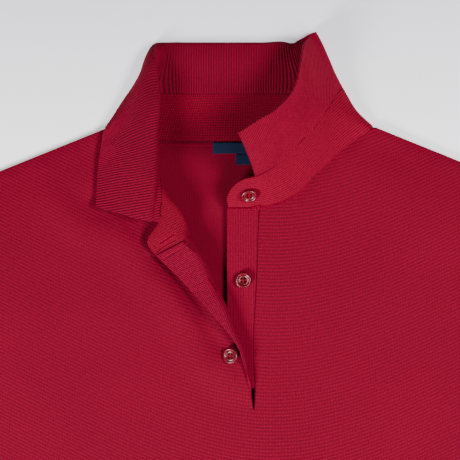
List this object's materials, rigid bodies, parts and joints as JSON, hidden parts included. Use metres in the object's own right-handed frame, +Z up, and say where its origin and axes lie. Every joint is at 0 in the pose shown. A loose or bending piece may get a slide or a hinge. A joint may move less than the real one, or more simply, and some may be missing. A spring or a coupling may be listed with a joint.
{
  "type": "polo sweater",
  "caption": "Fine-gauge knitted polo sweater laid flat, placket open, collar turned down on one side and standing on the other, one front edge turned out.",
  "frame": {"origin": "on the ground under the back, on the centre line at chest level, midway between the underarms", "axes": "+Y towards the collar, +X across to the picture's right (the wearer's left), +Z up out of the front"},
  "size_m": [1.0038, 0.6934, 0.0601],
  "materials": {
    "fine_red_knit": "matte fine-gauge piece-dyed wool knit",
    "red_rib_knit": "matte fine rib knit",
    "red_collar_knit": "matte fine rib knit, doubled",
    "dark_red_button": "polished dyed resin",
    "navy_label": "smooth woven ribbon"
  },
  "bodies": {
    "root": {"front": "fine_red_knit", "back": "fine_red_knit", "sleeve_left": "fine_red_knit", "sleeve_right": "fine_red_knit", "cuff_left": "red_rib_knit", "cuff_right": "red_rib_knit", "hem_rib": "red_rib_knit", "button_band": "red_rib_knit", "buttonhole_facing": "red_rib_knit", "collar_stand": "red_collar_knit", "collar_leaf": "red_collar_knit", "button_top": "dark_red_button", "button_middle": "dark_red_button", "button_bottom": "dark_red_button", "neck_label": "navy_label", "size_tab": "navy_label"}
  },
  "joints": []
}
